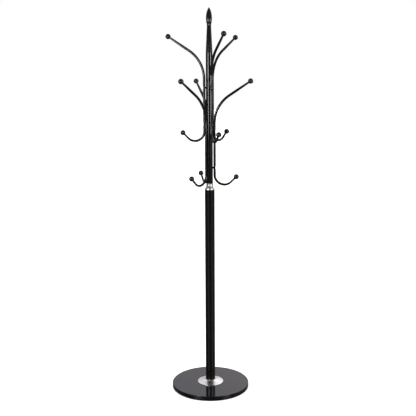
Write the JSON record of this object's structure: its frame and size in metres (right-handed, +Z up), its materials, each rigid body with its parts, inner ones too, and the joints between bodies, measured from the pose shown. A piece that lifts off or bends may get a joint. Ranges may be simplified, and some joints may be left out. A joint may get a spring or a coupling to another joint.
{
  "type": "coat rack",
  "caption": "Free-standing coat rack: round polished stone base, chromed cover and joint, black steel pole, bent ball-ended hook bars in tiers, pointed finial.",
  "frame": {"origin": "on the floor under the pole's axis, at the bottom centre of the whole rack's box", "axes": "+Z up along the pole; +X along the first bar of the lower tier; the lower bars lie at 0, 120 and 240 degrees about +Z and the upper bars at 60, 180 and 300 degrees"},
  "size_m": [0.3944, 0.36, 1.75],
  "materials": {
    "stone": "polished black stone, mirror-like",
    "felt": "dense dark felt",
    "chrome": "bright polished chrome plate",
    "zinc": "zinc-plated steel, hidden in use",
    "black_paint": "gloss black powder coat",
    "black_ball": "gloss black moulded ball",
    "screw_steel": "black oxide screw steel"
  },
  "bodies": {
    "root": {"base_slab": "stone", "base_pad_1": "felt", "base_pad_2": "felt", "base_pad_3": "felt", "base_pad_4": "felt", "base_washer": "zinc", "base_bolt": "zinc", "base_cover": "chrome", "lower_pole": "black_paint", "pole_foot_plug": "zinc", "pole_head_plug": "zinc", "chrome_reducer": "chrome", "joining_stud": "zinc", "tube_foot_plug": "zinc", "upper_tube": "black_paint", "finial": "black_paint", "lower_hook_1_bar": "black_paint", "lower_hook_1_top_ball": "black_ball", "lower_hook_1_low_ball": "black_ball", "lower_hook_1_spacer_1": "black_paint", "lower_hook_1_screw_1": "screw_steel", "lower_hook_1_spacer_2": "black_paint", "lower_hook_1_screw_2": "screw_steel", "lower_hook_2_bar": "black_paint", "lower_hook_2_top_ball": "black_ball", "lower_hook_2_low_ball": "black_ball", "lower_hook_2_spacer_1": "black_paint", "lower_hook_2_screw_1": "screw_steel", "lower_hook_2_spacer_2": "black_paint", "lower_hook_2_screw_2": "screw_steel", "lower_hook_3_bar": "black_paint", "lower_hook_3_top_ball": "black_ball", "lower_hook_3_low_ball": "black_ball", "lower_hook_3_spacer_1": "black_paint", "lower_hook_3_screw_1": "screw_steel", "lower_hook_3_spacer_2": "black_paint", "lower_hook_3_screw_2": "screw_steel", "upper_hook_1_bar": "black_paint", "upper_hook_1_top_ball": "black_ball", "upper_hook_1_low_ball": "black_ball", "upper_hook_1_spacer_1": "black_paint", "upper_hook_1_screw_1": "screw_steel", "upper_hook_1_spacer_2": "black_paint", "upper_hook_1_screw_2": "screw_steel", "upper_hook_2_bar": "black_paint", "upper_hook_2_top_ball": "black_ball", "upper_hook_2_low_ball": "black_ball", "upper_hook_2_spacer_1": "black_paint", "upper_hook_2_screw_1": "screw_steel", "upper_hook_2_spacer_2": "black_paint", "upper_hook_2_screw_2": "screw_steel", "upper_hook_3_bar": "black_paint", "upper_hook_3_top_ball": "black_ball", "upper_hook_3_low_ball": "black_ball", "upper_hook_3_spacer_1": "black_paint", "upper_hook_3_screw_1": "screw_steel", "upper_hook_3_spacer_2": "black_paint", "upper_hook_3_screw_2": "screw_steel"}
  },
  "joints": []
}
